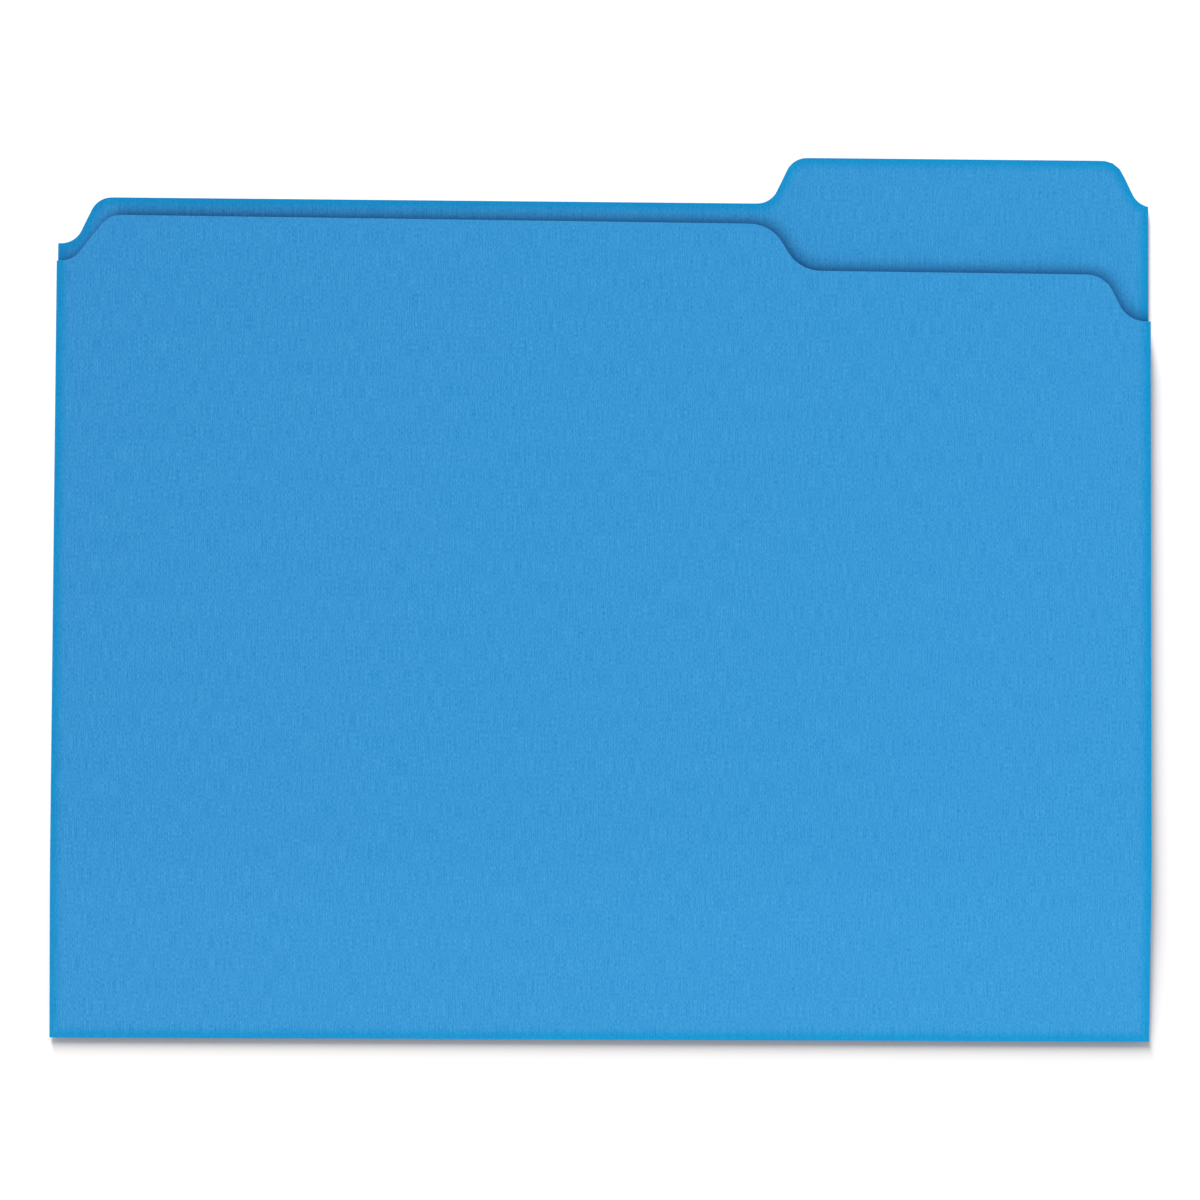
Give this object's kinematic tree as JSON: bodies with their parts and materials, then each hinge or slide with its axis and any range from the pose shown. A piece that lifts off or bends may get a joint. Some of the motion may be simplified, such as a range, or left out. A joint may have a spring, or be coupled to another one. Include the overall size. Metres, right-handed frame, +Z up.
{
  "type": "file folder",
  "caption": "Folded board file folder with a stepped index tab on the back leaf, a scored gusset that widens and an undercut front leaf.",
  "frame": {"origin": "on the surface that the folder lies on, under the middle of its outline", "axes": "+X along the fold to the right, +Y from the fold towards the tab, +Z up through the front leaf"},
  "size_m": [0.2984, 0.2413, 0.0059],
  "materials": {
    "board": "matt dyed board, light vertical fibre, uncoated"
  },
  "bodies": {
    "back_leaf": {"back_leaf": "board"},
    "front_half": {"main_fold": "board", "gusset_strip_1": "board", "score_crease_1": "board", "gusset_strip_2": "board", "score_crease_2": "board", "gusset_strip_3": "board", "score_crease_3": "board", "front_leaf": "board"}
  },
  "joints": [
    {"name": "open", "type": "hinge", "parent": "back_leaf", "child": "front_half", "pos_m": [0, -0.12012, 0.00053], "axis": [1, 0, 0], "range_deg": [0, 173.5], "deforming": ["main_fold"]}
  ]
}
